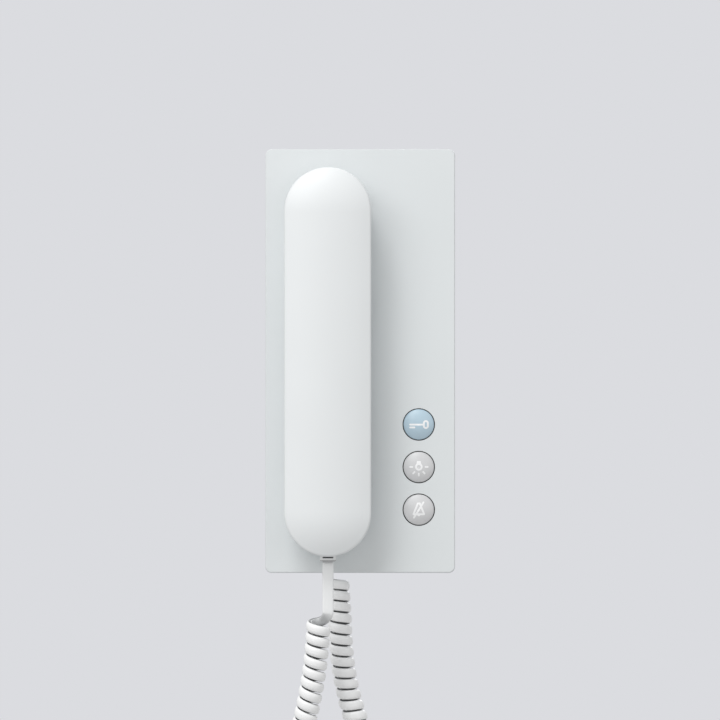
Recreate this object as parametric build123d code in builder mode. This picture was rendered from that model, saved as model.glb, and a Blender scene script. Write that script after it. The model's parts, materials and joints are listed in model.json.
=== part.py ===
"""Wall intercom with a lift-off handset, three round buttons and a curly cord.

Sizes are in millimetres. X runs to the right and Z up, and the wall is the plane Y = 0. A depth is
measured from the wall towards the person in front of it, so a depth d is the plane Y = -d. The origin
is the middle of the wall face.
"""

import bisect
import math
import os

from build123d import *

# Housing on the wall
base_width = 90.0
base_height = 201.0
base_depth = 20.0
base_corner_radius = 3.0
base_edge_radius = 0.8
cover_wall = 2.0
cover_rim_gap = 0.3
fit_gap = 0.3
overrun = 1.0

# Handset outline and section
handset_depth = 22.5
handset_width = 40.7
handset_top_inset = 9.7
handset_low_inset = 8.9
handset_x = -15.15
handset_back_gap = 3.5
handset_crown = 5.0
handset_edge_radius = 1.5
rim_tolerance = 0.01
handset_back_radius = 3.6
handset_back_taper = 1.0
handset_back_step = 0.25
handset_wall = 2.0
rear_shell_height = 10.0
lip_thickness = 1.0
lip_height = 1.5
lip_root = 2.0

# Ear and mouth pads, which stand out of the handset's back into seats in the cover
pad_height = 8.5
pad_edge_radius = 1.2
pad_wall = 2.0
ear_pad_radius = 16.0
ear_pad_top_inset = 28.0
ear_pad_low_inset = 51.0
mouth_pad_radius = 13.0
mouth_pad_top_inset = 30.0
mouth_pad_low_inset = 27.5
seat_gap = 0.8
seat_floor_gap = 1.0
seat_slack = 8.0
seat_edge_radius = 0.8

# Hook under the ear pad, which slants down towards the wall at 45 degrees
hook_width = 8.0
hook_thickness = 3.0
hook_reach = 4.6
hook_root = 1.0
hook_rise = 1.8
hook_gap = 0.4
hook_pocket_wall = 1.6

# Sound holes
ear_hole_radius = 0.9
ear_ring_spacing = 4.0
ear_rings = 2
ear_ring_holes = 6
mouth_slot_length = 7.0
mouth_slot_width = 1.4
mouth_slot_spacing = 3.2
mouth_slot_count = 3
ringer_slot_width = 1.6
ringer_slot_spacing = 2.8
ringer_slot_count = 5
ringer_slot_circle = 7.2

# Screws that join the handset's shells
screw_below_ear_pad = 10.0
screw_above_mouth_pad = 7.0
shell_boss_radius = 4.4
shell_boss_height = 3.0
post_radius = 3.5
screw_radius = 1.45
screw_head_radius = 2.7
screw_head_height = 1.8
screw_hole_gap = 0.1
screw_head_gap = 0.3
screw_sink = 0.4
screw_length = 12.0
screw_slot_width = 0.7
screw_slot_depth = 0.8

# Receiver, microphone and weight in the handset
receiver_drop = 6.0
receiver_radius = 12.0
receiver_flange_radius = 13.6
receiver_flange_height = 1.6
receiver_height = 6.2
receiver_magnet_radius = 8.0
receiver_magnet_height = 2.4
receiver_edge = 0.5
gasket_thickness = 0.8
gasket_width = 2.6
microphone_radius = 4.85
microphone_height = 5.0
grommet_radius = 6.8
grommet_height = 6.6
grommet_port_radius = 1.4
grommet_floor = 1.0
collar_gap = 0.1
collar_wall = 1.2
collar_height = 4.4
weight_end_gap = 5.0
weight_width = 16.0
weight_height = 6.0
weight_edge = 0.8

# Modular plugs and sockets at the two ends of the cord
plug_width = 7.6
plug_height = 6.5
plug_length = 12.0
plug_corner = 0.4
plug_window_width = 5.0
plug_window_height = 0.7
plug_window_depth = 1.4
plug_window_lift = 1.85
latch_width = 3.2
latch_thickness = 0.8
latch_gap = 0.5
latch_root = 1.6
latch_length = 8.6
socket_gap = 0.15
socket_wall = 1.4
socket_length = 9.0
socket_back = 1.4
socket_edge = 0.4
socket_foot = 1.0
plug_window_gap = 0.3
handset_plug_proud = 2.7
handset_socket_setback = 3.0
base_plug_sink = 6.1
base_plug_seated = 7.2
base_socket_side_inset = 29.7

# Curly cord. The route is the middle line of the coil, from the handset's end to the base's end
cord_width = 5.2
cord_thickness = 2.6
cord_edge_radius = 1.1
handset_lead_length = 20.05
base_lead_length = 2.0
coil_outer_radius = 6.0
coil_wire_radius = 2.3
coil_pitch = 5.25
coil_least_gap = 0.4
coil_section_sides = 6
coil_tightness_share = 0.9
coil_start_angle = 45.0
coil_end_angle = 225.0
coil_route = [
    (-19.6, -30.3, -123.0),
    (-20.2, -29.6, -134.0),
    (-21.9, -27.8, -149.0),
    (-25.2, -25.6, -166.0),
    (-29.8, -23.2, -186.0),
    (-32.0, -21.0, -206.0),
    (-20.6, -17.5, -217.5),
    (-4.4, -13.5, -217.5),
    (7.0, -10.5, -206.0),
    (3.6, -8.2, -186.0),
    (-3.6, -7.8, -167.0),
    (-7.6, -8.6, -150.0),
    (-9.3, -9.8, -134.0),
    (-9.7, -10.4, -120.0),
    (-10.9, -10.4, -105.6),
]

# Base plate
plate_thickness = 2.0
plate_rim_wall = 1.4
plate_rim_height = 3.0
wall_hole_radius = 2.2
wall_hole_inset_x = 7.0
wall_hole_inset_z = 15.5
wall_boss_radius = 4.6
wall_boss_height = 1.0
box_slot_spacing = 60.0
box_slot_length = 9.0
box_slot_width = 4.4
window_width = 34.0
window_height = 22.0
window_corner = 2.0
window_z = 45.0
clip_spacing = 54.0
clip_width = 9.0
clip_wall = 1.4
clip_height = 9.0
clip_nose = 1.1
clip_nose_height = 1.6
catch_gap = 0.1
plate_rib_wall = 1.2
plate_rib_height = 1.4
plate_rib_z = 20.0
plate_rib_top_z = 70.0

# Circuit board and what stands on it
board_side_inset = 12.0
board_height = 88.0
board_low_inset = 7.5
board_thickness = 1.6
board_corner = 1.5
board_lift = 2.0
board_hole_inset = 4.0
standoff_radius = 3.0
board_screw_length = 4.2
board_screw_radius = 1.2
board_screw_head_radius = 2.3
board_screw_head_height = 1.4
terminal_spacing = 5.0
terminal_count = 5
terminal_depth = 8.4
terminal_height = 8.6
terminal_x = 11.0
terminal_top_inset = 12.0
terminal_edge = 0.5
wire_hole_width = 2.8
wire_hole_length = 2.6
wire_hole_lift = 2.6
terminal_screw_radius = 1.6
terminal_screw_height = 2.2
terminal_screw_sink = 0.5
chip_size = 10.0
chip_height = 1.4
chip_x = 2.0
chip_rise = 7.0
chip_lead_width = 0.4
chip_lead_reach = 1.2
chip_lead_spacing = 1.27
chip_lead_count = 7
chip_lead_height = 0.7
capacitor_radius = 3.2
capacitor_height = 6.0
capacitor_x = 12.0
capacitor_spacing = 12.0
capacitor_count = 3
capacitor_rise = 3.0
capacitor_edge = 0.5

# Ringer loudspeaker behind the handset
speaker_radius = 9.0
speaker_flange = 1.2
speaker_basket_radius = 7.4
speaker_basket_height = 2.6
speaker_magnet_radius = 5.0
speaker_magnet_height = 2.4
speaker_cone_depth = 1.8
speaker_seat_wall = 1.2
speaker_seat_height = 3.4
speaker_clip_count = 3
speaker_clip_width = 4.0
speaker_clip_depth = 0.9

# Buttons
button_side_inset = 17.2
button_low_inset = 30.0
button_spacing = 20.2
button_names = ("door", "light", "mute")
button_radius = 7.25
button_hole_gap = 0.45
button_proud = 0.3
button_dome = 0.8
button_edge = 0.35
button_travel = 1.0
flange_radius = 8.35
flange_height = 1.1
flange_gap = 0.3
guide_wall = 0.9
guide_gap = 0.3
guide_height = 3.4
skirt_wall = 1.2
stem_radius = 2.6
stem_web = 1.4
cap_hollow = 2.0
switch_size = 6.0
switch_height = 3.5
switch_corner = 0.5
plunger_radius = 1.7
plunger_play = 0.2
plunger_height = 1.5
plunger_in_switch = 0.6

# Hook switch, whose plunger the mouth pad holds down
hook_switch_rise = 8.0
hook_switch_size = 11.0
hook_switch_height = 5.8
hook_switch_wall = 0.8
hook_rod_radius = 2.1
hook_collar_radius = 3.2
hook_collar_height = 1.1
hook_rod_gap = 0.15
hook_collar_gap = 0.3
hook_tip_gap = 0.3
hook_dome = 0.8

# Depths that follow from the sizes above
cover_inner_depth = base_depth - cover_wall
handset_back_depth = base_depth + handset_back_gap
handset_front_depth = handset_back_depth + handset_depth
parting_depth = handset_back_depth + rear_shell_height
rear_inner_depth = handset_back_depth + handset_wall
pad_face_depth = handset_back_depth - pad_height
pad_inner_depth = pad_face_depth + pad_wall
seat_depth = pad_face_depth - seat_floor_gap
seat_inner_depth = seat_depth - cover_wall
board_back_depth = plate_thickness + board_lift
board_front_depth = board_back_depth + board_thickness

# Places that follow from the sizes above
base_bottom_z = -base_height / 2
handset_half = handset_width / 2
handset_top_z = base_height / 2 - handset_top_inset
handset_low_z = handset_low_inset - base_height / 2
top_round_z = handset_top_z - handset_half
low_round_z = handset_low_z + handset_half
ear_pad_top_z = handset_top_z - ear_pad_top_inset
ear_pad_low_z = handset_top_z - ear_pad_low_inset
mouth_pad_top_z = handset_low_z + mouth_pad_top_inset
mouth_pad_low_z = handset_low_z + mouth_pad_low_inset
plate_width = base_width - 2 * (cover_wall + fit_gap)
plate_height = base_height - 2 * (cover_wall + fit_gap)
plate_corner = base_corner_radius - cover_wall
wall_hole_spacing_x = base_width - 2 * wall_hole_inset_x
wall_hole_spacing_z = base_height - 2 * wall_hole_inset_z
button_x = base_width / 2 - button_side_inset
button_low_z = base_bottom_z + button_low_inset
button_zs = [button_low_z + i * button_spacing for i in reversed(range(len(button_names)))]
board_width = base_width - 2 * board_side_inset
board_z = base_bottom_z + board_low_inset + board_height / 2
terminal_z = board_z + board_height / 2 - terminal_top_inset
chip_z = board_z + chip_rise
capacitor_z = board_z + capacitor_rise
receiver_z = ear_pad_top_z - receiver_drop
hook_switch_z = mouth_pad_top_z + hook_switch_rise
board_hole_spacing_x = board_width - 2 * board_hole_inset
board_hole_spacing_z = board_height - 2 * board_hole_inset
socket_width = plug_width + 2 * (socket_gap + socket_wall)
socket_height = plug_height + 2 * (socket_gap + socket_wall)
base_plug_depth = board_front_depth + socket_height / 2
handset_plug_depth = rear_inner_depth + socket_height / 2
base_plug_low_z = base_bottom_z + base_plug_sink
base_socket_x = base_socket_side_inset - base_width / 2
base_socket_low_z = base_plug_low_z + plug_length - base_plug_seated
handset_plug_low_z = handset_low_z - handset_plug_proud
handset_socket_low_z = handset_low_z + handset_wall + handset_socket_setback
handset_screw_top_z = ear_pad_low_z - ear_pad_radius - screw_below_ear_pad
handset_screw_low_z = mouth_pad_top_z + mouth_pad_radius + screw_above_mouth_pad
handset_screw_zs = (handset_screw_top_z, handset_screw_low_z)
weight_z = (handset_screw_top_z + handset_screw_low_z) / 2
weight_length = handset_screw_top_z - handset_screw_low_z - 2 * (shell_boss_radius + weight_end_gap)

os.makedirs("parts", exist_ok=True)


def at_depth(depth):
    """The plane at that depth, which faces the person in front of the wall."""
    return Plane.XZ.offset(depth)


def keep(piece, name):
    piece.part.label = name
    export_step(piece.part, f"parts/{name}.step")


def slot_outline(low_z, top_z, radius, mode=Mode.ADD):
    """An upright slot on the handset's middle line, between the middles of its two round ends."""
    with Locations((handset_x, (low_z + top_z) / 2)):
        SlotCenterToCenter(top_z - low_z, 2 * radius, rotation=90, mode=mode)


def ear_outline(grow, slack):
    slot_outline(ear_pad_low_z, ear_pad_top_z + slack, ear_pad_radius + grow)


def mouth_outline(grow, slack):
    slot_outline(mouth_pad_low_z, mouth_pad_top_z + slack, mouth_pad_radius + grow)


def front_form(inset):
    """The front shell's outer form: a slot whose face is a shallow crown, domed over the round ends."""
    half = handset_half - inset
    dome_radius = (handset_half**2 + handset_crown**2) / (2 * handset_crown) - inset
    dome_depth = handset_front_depth - inset - dome_radius
    rim_depth = dome_depth + math.sqrt(dome_radius**2 - half**2)
    with BuildPart() as dome:
        with Locations((handset_x, -dome_depth, (low_round_z + top_round_z) / 2)):
            Cylinder(dome_radius, top_round_z - low_round_z, rotation=(0, 0, -90))
        for end_z in (low_round_z, top_round_z):
            with Locations((handset_x, -dome_depth, end_z)):
                Sphere(dome_radius, rotation=(0, 90, 0))
    with BuildPart() as form:
        with BuildSketch(at_depth(parting_depth - overrun)):
            slot_outline(low_round_z, top_round_z, half)
        extrude(amount=handset_front_depth - parting_depth + 2 * overrun)
        add(dome.part, mode=Mode.INTERSECT)
        rim = form.edges().filter_by_position(Axis.Y, -rim_depth - rim_tolerance, -rim_depth + rim_tolerance)
        fillet(rim, handset_edge_radius - inset / 2)
    return form.part


def rear_section(inset):
    """Right half of the rear shell's section: a step in from the front shell, then a slight taper."""
    half = handset_half - handset_back_step - inset
    back_depth = handset_back_depth + inset
    open_depth = parting_depth + overrun
    back_half = half - handset_back_taper
    with BuildSketch(Plane((handset_x, 0, top_round_z))) as section:
        with BuildLine():
            Polyline((0, -open_depth), (half, -open_depth), (half, -parting_depth))
            Polyline((half, -parting_depth), (back_half, -back_depth), (0, -back_depth), (0, -open_depth))
        make_face()
        edge = handset_back_radius - inset / 2
        fillet(section.vertices().sort_by_distance((back_half, -back_depth))[0], edge)
    return section.sketch


def capsule_form(section):
    """The half section mirrored and drawn along the handset, then turned round its two ends."""
    run = low_round_z - top_round_z
    with BuildPart() as form:
        extrude(section, amount=run)
        mirror(about=Plane.YZ.offset(handset_x))
        revolve(section, Axis((handset_x, 0, top_round_z), (0, -1, 0)), 180)
        revolve(section.moved(Location((0, 0, run))), Axis((handset_x, 0, low_round_z), (0, 1, 0)), 180)
    return form.part


def hook_outline(grow):
    """The slanting hook seen from the side, as points in depth and height, grown by a gap."""
    slant = math.sqrt(0.5)
    middle_y = -(pad_face_depth + hook_rise)
    middle_z = ear_pad_low_z - ear_pad_radius + hook_root
    half = hook_thickness / 2 + grow
    ends = [(-hook_root, half), (-hook_root, -half), (hook_reach + grow, -half), (hook_reach + grow, half)]
    return [(middle_y + (run - side) * slant, middle_z - (run + side) * slant) for run, side in ends]


# Front cover with the two seats, the button holes and the sound slots behind the handset
pocket_width = hook_width + 2 * (hook_gap + hook_pocket_wall)
hook_points = hook_outline(hook_gap)
pocket_low_z = min(z for y, z in hook_points) - hook_pocket_wall
pocket_back_depth = min(-y for y, z in hook_points) - hook_pocket_wall
pocket_top_z = ear_pad_low_z - ear_pad_radius
guide_radius = flange_radius + guide_gap
speaker_seat_radius = speaker_radius + fit_gap
mouth_cup_top_z = mouth_pad_top_z + seat_slack + mouth_pad_radius + seat_gap + cover_wall
speaker_z = (pocket_low_z + mouth_cup_top_z) / 2

with BuildPart() as front_cover:
    with BuildSketch(at_depth(cover_rim_gap)):
        RectangleRounded(base_width, base_height, base_corner_radius)
    extrude(amount=base_depth - cover_rim_gap)
    fillet(front_cover.faces().sort_by(Axis.Y)[0].edges(), base_edge_radius)
    with BuildSketch(at_depth(cover_rim_gap - overrun)):
        RectangleRounded(base_width - 2 * cover_wall, base_height - 2 * cover_wall, plate_corner)
    extrude(amount=cover_inner_depth - cover_rim_gap + overrun, mode=Mode.SUBTRACT)

    # Cups behind the two seats, and the pocket that takes the hook
    with BuildSketch(at_depth(seat_inner_depth)):
        ear_outline(seat_gap + cover_wall, seat_slack)
        mouth_outline(seat_gap + cover_wall, seat_slack)
    extrude(amount=cover_inner_depth - seat_inner_depth + cover_wall / 2)
    with BuildSketch(at_depth(pocket_back_depth)):
        with Locations((handset_x, (pocket_low_z + pocket_top_z) / 2)):
            Rectangle(pocket_width, pocket_top_z - pocket_low_z)
    extrude(amount=cover_inner_depth - pocket_back_depth + cover_wall / 2)
    with BuildSketch(at_depth(seat_depth)):
        ear_outline(seat_gap, seat_slack)
        mouth_outline(seat_gap, seat_slack)
    extrude(amount=base_depth - seat_depth + overrun, mode=Mode.SUBTRACT)
    seat_rims = front_cover.faces().sort_by(Axis.Y)[0].inner_wires()
    fillet([edge for rim in seat_rims for edge in rim.edges()], seat_edge_radius)
    with BuildSketch(Plane.YZ.offset(handset_x - hook_width / 2 - hook_gap)):
        with BuildLine():
            Polyline(*hook_points, close=True)
        make_face()
    extrude(amount=hook_width + 2 * hook_gap, mode=Mode.SUBTRACT)

    with BuildSketch(at_depth(seat_inner_depth - overrun)):
        with Locations((handset_x, hook_switch_z)):
            Circle(hook_rod_radius + hook_rod_gap)
    extrude(amount=cover_wall + 2 * overrun, mode=Mode.SUBTRACT)

    # Guide rings, button holes and the ring that locates the ringer
    with BuildSketch(at_depth(cover_inner_depth - guide_height)):
        with Locations([(button_x, z) for z in button_zs]):
            Circle(guide_radius + guide_wall)
            Circle(guide_radius, mode=Mode.SUBTRACT)
    extrude(amount=guide_height + cover_wall / 2)
    with BuildSketch(at_depth(cover_inner_depth - overrun)):
        with Locations([(button_x, z) for z in button_zs]):
            Circle(button_radius + button_hole_gap)
    extrude(amount=cover_wall + 2 * overrun, mode=Mode.SUBTRACT)
    with BuildSketch(at_depth(cover_inner_depth - speaker_seat_height)):
        with Locations((handset_x, speaker_z)):
            Circle(speaker_seat_radius + speaker_seat_wall)
            Circle(speaker_seat_radius, mode=Mode.SUBTRACT)
    extrude(amount=speaker_seat_height + cover_wall / 2)
    with BuildSketch(at_depth(cover_inner_depth - speaker_seat_height)):
        with Locations((handset_x, speaker_z)):
            with PolarLocations(speaker_seat_radius - speaker_clip_depth / 2, speaker_clip_count, 90):
                Rectangle(speaker_clip_depth + speaker_seat_wall, speaker_clip_width)
    extrude(amount=speaker_seat_height - speaker_flange - screw_hole_gap)
    with BuildSketch(at_depth(cover_inner_depth - overrun)):
        for i in range(ringer_slot_count):
            rise = (i - (ringer_slot_count - 1) / 2) * ringer_slot_spacing
            half_length = math.sqrt(ringer_slot_circle**2 - rise**2)
            with Locations((handset_x, speaker_z + rise)):
                SlotOverall(2 * half_length, ringer_slot_width)
    extrude(amount=cover_wall + 2 * overrun, mode=Mode.SUBTRACT)

    # Opening for the cord's plug in the bottom wall, and the catches for the base plate's clips
    with BuildSketch(Plane.XY.offset(base_bottom_z - overrun)):
        with Locations((base_socket_x, -base_plug_depth)):
            Rectangle(plug_width + 2 * plug_window_gap, plug_height + 2 * plug_window_gap)
    extrude(amount=cover_wall + 2 * overrun, mode=Mode.SUBTRACT)
    nose_depth = plate_thickness + clip_height - clip_nose_height
    with BuildSketch(at_depth(nose_depth - catch_gap)):
        with GridLocations(clip_spacing, plate_height, 2, 2):
            Rectangle(clip_width + 2 * fit_gap, 2 * (clip_nose + catch_gap))
    extrude(amount=clip_nose_height + 2 * catch_gap, mode=Mode.SUBTRACT)
keep(front_cover, "front_cover")

# Base plate, which is screwed to the wall and carries the circuit board
with BuildPart() as base_plate:
    with BuildSketch(at_depth(0)):
        RectangleRounded(plate_width, plate_height, plate_corner)
    extrude(amount=plate_thickness)
    with BuildSketch(at_depth(plate_thickness)):
        RectangleRounded(plate_width, plate_height, plate_corner)
        RectangleRounded(plate_width - 2 * plate_rim_wall, plate_height - 2 * plate_rim_wall,
                         plate_corner / 2, mode=Mode.SUBTRACT)
    extrude(amount=plate_rim_height)
    with BuildSketch(at_depth(plate_thickness)):
        with Locations((0, window_z)):
            RectangleRounded(window_width + 2 * plate_rib_wall, window_height + 2 * plate_rib_wall,
                             window_corner + plate_rib_wall)
        with Locations((0, plate_rib_z), (0, plate_rib_top_z)):
            Rectangle(plate_width - plate_rim_wall, plate_rib_wall)
    extrude(amount=plate_rib_height)
    with BuildSketch(at_depth(plate_thickness)):
        with GridLocations(wall_hole_spacing_x, wall_hole_spacing_z, 2, 2):
            Circle(wall_boss_radius)
    extrude(amount=wall_boss_height)
    with BuildSketch(at_depth(plate_thickness)):
        with Locations((0, board_z)):
            with GridLocations(board_hole_spacing_x, board_hole_spacing_z, 2, 2):
                Circle(standoff_radius)
    extrude(amount=board_lift)
    cut_height = plate_thickness + plate_rim_height + overrun
    with BuildSketch(at_depth(-overrun)):
        with Locations((0, window_z)):
            RectangleRounded(window_width, window_height, window_corner)
            with GridLocations(box_slot_spacing, window_height, 2, 1):
                SlotOverall(box_slot_length, box_slot_width, rotation=90)
        with GridLocations(wall_hole_spacing_x, wall_hole_spacing_z, 2, 2):
            Circle(wall_hole_radius)
        with Locations((0, board_z)):
            with GridLocations(board_hole_spacing_x, board_hole_spacing_z, 2, 2):
                Circle(board_screw_radius + screw_hole_gap)
    extrude(amount=overrun + cut_height, mode=Mode.SUBTRACT)

    # Spring clips at the top and bottom edges, each with a nose that snaps into the cover
    with BuildSketch(at_depth(plate_thickness)):
        with GridLocations(clip_spacing, plate_height - clip_wall, 2, 2):
            Rectangle(clip_width, clip_wall)
    extrude(amount=clip_height)
    for side in (1, -1):
        edge_z = side * plate_height / 2
        for x in (-clip_spacing / 2, clip_spacing / 2):
            with BuildSketch(Plane.YZ.offset(x - clip_width / 2)):
                with BuildLine():
                    Polyline((-nose_depth, edge_z), (-nose_depth, edge_z + side * clip_nose),
                             (-nose_depth - clip_nose_height, edge_z), close=True)
                make_face()
            extrude(amount=clip_width)
keep(base_plate, "base_plate")

# Circuit board and its screws
with BuildPart() as circuit_board:
    with BuildSketch(at_depth(board_back_depth)):
        with Locations((0, board_z)):
            RectangleRounded(board_width, board_height, board_corner)
            with GridLocations(board_hole_spacing_x, board_hole_spacing_z, 2, 2):
                Circle(board_screw_radius + fit_gap, mode=Mode.SUBTRACT)
    extrude(amount=board_thickness)
keep(circuit_board, "circuit_board")

with BuildPart() as board_screws:
    with BuildSketch(at_depth(board_front_depth)):
        with Locations((0, board_z)):
            with GridLocations(board_hole_spacing_x, board_hole_spacing_z, 2, 2):
                Circle(board_screw_head_radius)
    extrude(amount=board_screw_head_height)
    with BuildSketch(at_depth(board_front_depth - board_screw_length)):
        with Locations((0, board_z)):
            with GridLocations(board_hole_spacing_x, board_hole_spacing_z, 2, 2):
                Circle(board_screw_radius)
    extrude(amount=board_screw_length)
    with BuildSketch(at_depth(board_front_depth + board_screw_head_height - screw_slot_depth)):
        with Locations((0, board_z)):
            with GridLocations(board_hole_spacing_x, board_hole_spacing_z, 2, 2):
                Rectangle(2 * board_screw_head_radius, screw_slot_width)
    extrude(amount=screw_slot_depth, mode=Mode.SUBTRACT)
keep(board_screws, "board_screws")

# Terminal block for the wires from the wall
terminal_width = terminal_spacing * terminal_count
terminal_top_depth = board_front_depth + terminal_height
screw_well_radius = terminal_screw_radius + screw_hole_gap

with BuildPart() as terminal_block:
    with BuildSketch(at_depth(board_front_depth)):
        with Locations((terminal_x, terminal_z)):
            Rectangle(terminal_width, terminal_depth)
    extrude(amount=terminal_height)
    chamfer(terminal_block.faces().sort_by(Axis.Y)[0].edges(), terminal_edge)
    with BuildSketch(at_depth(terminal_top_depth - terminal_screw_height - terminal_screw_sink)):
        with Locations((terminal_x, terminal_z)):
            with GridLocations(terminal_spacing, terminal_depth, terminal_count, 1):
                Circle(screw_well_radius)
    extrude(amount=terminal_screw_height + terminal_screw_sink + overrun, mode=Mode.SUBTRACT)
    with BuildSketch(Plane.XY.offset(terminal_z + terminal_depth / 2 - wire_hole_length)):
        with Locations((terminal_x, -board_front_depth - wire_hole_lift)):
            with GridLocations(terminal_spacing, terminal_height, terminal_count, 1):
                Rectangle(wire_hole_width, wire_hole_width)
    extrude(amount=wire_hole_length + overrun, mode=Mode.SUBTRACT)
keep(terminal_block, "terminal_block")

with BuildPart() as terminal_screws:
    with BuildSketch(at_depth(terminal_top_depth - terminal_screw_height - terminal_screw_sink)):
        with Locations((terminal_x, terminal_z)):
            with GridLocations(terminal_spacing, terminal_depth, terminal_count, 1):
                Circle(terminal_screw_radius)
    extrude(amount=terminal_screw_height)
    with BuildSketch(at_depth(terminal_top_depth - terminal_screw_sink - screw_slot_depth)):
        with Locations((terminal_x, terminal_z)):
            with GridLocations(terminal_spacing, terminal_depth, terminal_count, 1):
                Rectangle(2 * terminal_screw_radius, screw_slot_width)
    extrude(amount=screw_slot_depth, mode=Mode.SUBTRACT)
keep(terminal_screws, "terminal_screws")

# Chip and capacitors
with BuildPart() as control_chip:
    with BuildSketch(at_depth(board_front_depth)):
        with Locations((chip_x, chip_z)):
            Rectangle(chip_size, chip_size)
    extrude(amount=chip_height)
    with BuildSketch(at_depth(board_front_depth)):
        with Locations((chip_x, chip_z)):
            with GridLocations(chip_size, chip_lead_spacing, 1, chip_lead_count):
                Rectangle(chip_size + 2 * chip_lead_reach, chip_lead_width)
    extrude(amount=chip_lead_height)
keep(control_chip, "control_chip")

with BuildPart() as capacitors:
    with BuildSketch(at_depth(board_front_depth)):
        with Locations((capacitor_x, capacitor_z)):
            with GridLocations(capacitor_spacing, capacitor_spacing, 1, capacitor_count):
                Circle(capacitor_radius)
    extrude(amount=capacitor_height)
    fillet(capacitors.faces().filter_by(Axis.Y).group_by(Axis.Y)[0].edges(), capacitor_edge)
keep(capacitors, "capacitors")

# Ringer loudspeaker, seated against the inside of the cover
speaker_flange_back = cover_inner_depth - speaker_flange
speaker_basket_back = speaker_flange_back - speaker_basket_height
speaker_magnet_back = speaker_basket_back - speaker_magnet_height
speaker_cone_back = cover_inner_depth - speaker_cone_depth

with BuildPart() as ringer_speaker:
    with BuildSketch(Plane((handset_x, 0, speaker_z))):
        with BuildLine():
            Polyline((0, -speaker_magnet_back), (speaker_magnet_radius, -speaker_magnet_back),
                     (speaker_magnet_radius, -speaker_basket_back),
                     (speaker_basket_radius, -speaker_flange_back),
                     (speaker_radius, -speaker_flange_back), (speaker_radius, -cover_inner_depth),
                     (speaker_basket_radius, -cover_inner_depth), (0, -speaker_cone_back), close=True)
        make_face()
    revolve(axis=Axis((handset_x, 0, speaker_z), (0, 1, 0)))
keep(ringer_speaker, "ringer_speaker")

# Push switches under the buttons
switch_top_depth = board_front_depth + switch_height
plunger_top_depth = switch_top_depth + plunger_height
plunger_back_depth = switch_top_depth - plunger_in_switch
switch_well_depth = plunger_back_depth - button_travel - plunger_play

with BuildPart() as push_switches:
    with BuildSketch(at_depth(board_front_depth)):
        with Locations([(button_x, z) for z in button_zs]):
            RectangleRounded(switch_size, switch_size, switch_corner)
    extrude(amount=switch_height)
    with BuildSketch(at_depth(switch_well_depth)):
        with Locations([(button_x, z) for z in button_zs]):
            Circle(plunger_radius + plunger_play)
    extrude(amount=switch_top_depth - switch_well_depth + overrun, mode=Mode.SUBTRACT)
keep(push_switches, "push_switches")

# Buttons, each with the plunger that it pushes into its switch
button_face_depth = base_depth + button_proud
flange_front_depth = cover_inner_depth - flange_gap
flange_back_depth = flange_front_depth - flange_height

for button_name, z in zip(button_names, button_zs):
    with BuildPart() as button:
        with BuildSketch(Plane((button_x, 0, z))):
            with BuildLine():
                ThreePointArc((button_edge - button_radius, -button_face_depth),
                              (0, -button_face_depth - button_dome),
                              (button_radius - button_edge, -button_face_depth))
                Polyline((button_radius - button_edge, -button_face_depth),
                         (button_radius, -button_face_depth + button_edge),
                         (button_radius, -flange_front_depth), (flange_radius, -flange_front_depth),
                         (flange_radius, -flange_back_depth), (-flange_radius, -flange_back_depth),
                         (-flange_radius, -flange_front_depth), (-button_radius, -flange_front_depth),
                         (-button_radius, -button_face_depth + button_edge),
                         (button_edge - button_radius, -button_face_depth))
            make_face()
            split(bisect_by=Plane.YZ)
        revolve(axis=Axis((button_x, 0, z), (0, 1, 0)))
        with BuildSketch(at_depth(flange_back_depth)):
            with Locations((button_x, z)):
                Circle(button_radius - skirt_wall)
                Circle(stem_radius, mode=Mode.SUBTRACT)
        extrude(amount=cap_hollow, mode=Mode.SUBTRACT)
        with BuildSketch(at_depth(plunger_top_depth)):
            with Locations((button_x, z)):
                Rectangle(2 * stem_radius, stem_web)
                Rectangle(stem_web, 2 * stem_radius)
        extrude(amount=flange_back_depth + cap_hollow - plunger_top_depth)
    keep(button, f"{button_name}_button")

    with BuildPart() as plunger:
        with BuildSketch(at_depth(plunger_back_depth)):
            with Locations((button_x, z)):
                Circle(plunger_radius)
        extrude(amount=plunger_top_depth - plunger_back_depth)
    keep(plunger, f"{button_name}_plunger")

# Hook switch and its plunger, which comes forward when the handset is lifted
hook_case_depth = board_front_depth + hook_switch_height
hook_collar_back = board_front_depth + hook_switch_wall + hook_collar_gap
hook_tip_depth = pad_face_depth - hook_tip_gap

with BuildPart() as hook_switch:
    with BuildSketch(at_depth(board_front_depth)):
        with Locations((handset_x, hook_switch_z)):
            Rectangle(hook_switch_size, hook_switch_size)
    extrude(amount=hook_switch_height)
    with BuildSketch(at_depth(board_front_depth + hook_switch_wall)):
        with Locations((handset_x, hook_switch_z)):
            Circle(hook_collar_radius + hook_collar_gap)
    extrude(amount=hook_switch_height - 2 * hook_switch_wall, mode=Mode.SUBTRACT)
    with BuildSketch(at_depth(hook_case_depth - hook_switch_wall - overrun)):
        with Locations((handset_x, hook_switch_z)):
            Circle(hook_rod_radius + hook_rod_gap)
    extrude(amount=hook_switch_wall + 2 * overrun, mode=Mode.SUBTRACT)
keep(hook_switch, "hook_switch")

with BuildPart() as hook_plunger:
    with BuildSketch(Plane((handset_x, 0, hook_switch_z))):
        with BuildLine():
            Polyline((0, -hook_tip_depth), (0, -hook_collar_back), (hook_collar_radius, -hook_collar_back),
                     (hook_collar_radius, -hook_collar_back - hook_collar_height),
                     (hook_rod_radius, -hook_collar_back - hook_collar_height),
                     (hook_rod_radius, -hook_tip_depth + hook_dome))
            RadiusArc((hook_rod_radius, -hook_tip_depth + hook_dome), (0, -hook_tip_depth),
                      (hook_rod_radius**2 + hook_dome**2) / (2 * hook_dome))
        make_face()
    revolve(axis=Axis((handset_x, 0, hook_switch_z), (0, 1, 0)))
keep(hook_plunger, "hook_plunger")


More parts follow.
